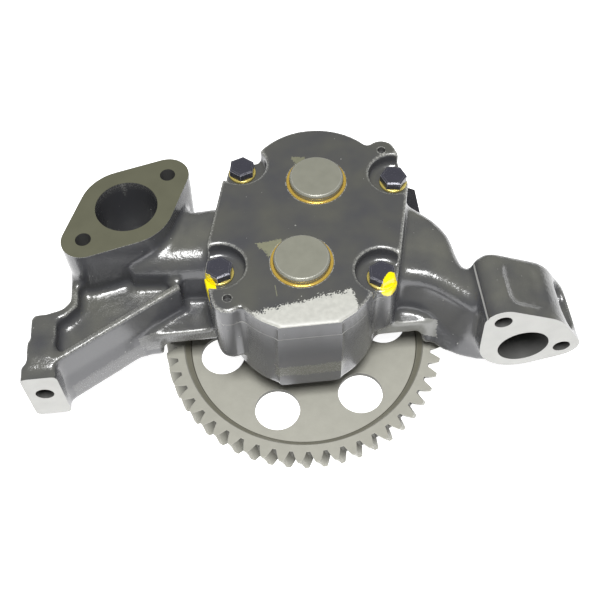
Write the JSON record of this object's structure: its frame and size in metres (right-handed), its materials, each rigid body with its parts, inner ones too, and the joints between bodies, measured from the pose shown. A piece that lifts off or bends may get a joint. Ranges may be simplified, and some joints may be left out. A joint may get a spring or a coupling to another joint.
{
  "type": "engine oil pump",
  "caption": "Gear-type engine oil pump with a cast housing, bolted cover, raised suction flange, side pressure flange, bracket lug and a large helical drive gear.",
  "frame": {"origin": "on the drive shaft's axis, in the plane of the drive gear's lower face", "axes": "+Z along the shafts towards the cover, +X along the housing from the bracket arm to the pressure flange, -Y towards the engine's mounting face"},
  "size_m": [0.324, 0.1881, 0.0926],
  "materials": {
    "cast_body": "semi-gloss dark grey paint on rough cast iron",
    "cast_cover": "semi-gloss dark grey paint on rough cast iron",
    "black_steel": "black oxide",
    "zinc_yellow": "yellow zinc plate",
    "bright_steel": "bright",
    "bronze": "plain bearing bronze",
    "ground_steel": "ground",
    "gear_steel": "cut and hardened",
    "plug_steel": "bright",
    "copper": "annealed copper",
    "spring_steel": "oiled"
  },
  "bodies": {
    "housing": {"pump_housing": "cast_body", "cover_plate": "cast_cover", "cover_bolts": "black_steel", "cover_washers": "zinc_yellow", "cover_dowels": "bright_steel", "drive_bush_cover": "bronze", "driven_bush_cover": "bronze", "drive_bush_housing": "bronze", "driven_bush_housing": "bronze", "relief_plug": "plug_steel", "relief_plug_seal": "copper", "relief_spring": "spring_steel"},
    "drive_train": {"drive_shaft": "ground_steel", "drive_pump_gear": "gear_steel", "drive_pump_key": "bright_steel", "drive_gear": "gear_steel", "drive_gear_key": "bright_steel", "drive_gear_nut": "bright_steel", "drive_tab_washer": "bright_steel"},
    "driven_train": {"driven_shaft": "ground_steel", "driven_pump_gear": "gear_steel", "driven_pump_key": "bright_steel"},
    "relief_valve": {"relief_piston": "ground_steel"}
  },
  "joints": [
    {"name": "drive_spin", "type": "hinge", "parent": "housing", "child": "drive_train", "pos_m": [0, 0, 0], "axis": [0, 0, 1], "continuous": true},
    {"name": "driven_spin", "type": "hinge", "parent": "housing", "child": "driven_train", "pos_m": [0.01482, 0.05814, 0], "axis": [0, 0, 1], "continuous": true},
    {"name": "relief_slide", "type": "slide", "parent": "housing", "child": "relief_valve", "axis": [0, 1, 0], "range_m": [0, 0.009], "stiffness_N_per_m": 8000, "springref_m": -0.006, "deforming": ["relief_spring"]}
  ],
  "couplings": [
    {"joint": "driven_spin", "follows": "drive_spin", "ratio": -1}
  ]
}
